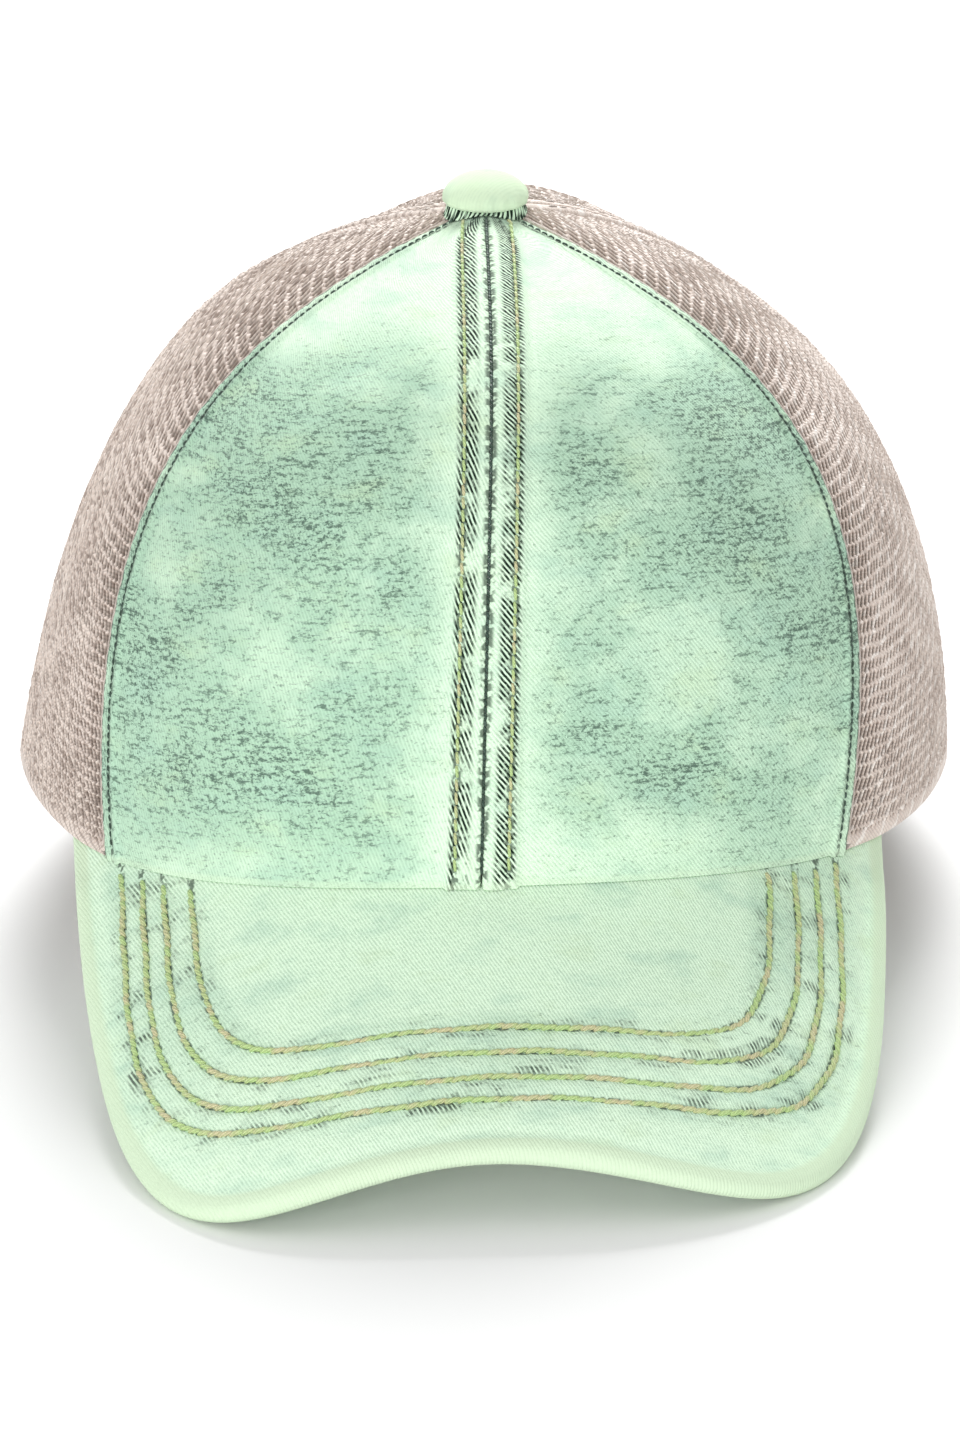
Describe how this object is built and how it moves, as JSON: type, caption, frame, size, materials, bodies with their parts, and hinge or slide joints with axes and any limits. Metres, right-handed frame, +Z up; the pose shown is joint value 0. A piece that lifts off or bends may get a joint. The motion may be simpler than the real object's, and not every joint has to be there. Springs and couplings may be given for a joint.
{
  "type": "ponytail baseball cap",
  "caption": "Six-panel baseball cap with washed denim front and bent brim, net sides and back, and a taped ponytail opening above a back strap.",
  "frame": {"origin": "centre of the bounding box's lowest face, on the table that the cap rests on", "axes": "+Z up from the table, the brim toward -Y, +X toward the left hand of a wearer"},
  "size_m": [0.1724, 0.2602, 0.1338],
  "materials": {
    "denim": "mineral washed cotton denim",
    "brim_denim": "mineral washed cotton denim over a stiffener",
    "button_denim": "denim covered button",
    "net": "knitted polyester net",
    "band_cotton": "plain woven cotton",
    "tape": "plain woven tape"
  },
  "bodies": {
    "root": {"front_panel_left": "denim", "front_panel_right": "denim", "side_mesh_left": "net", "side_mesh_right": "net", "back_mesh_left": "net", "back_mesh_right": "net", "brim": "brim_denim", "top_button": "button_denim", "sweatband": "band_cotton", "opening_binding": "tape", "back_strap": "tape"}
  },
  "joints": []
}
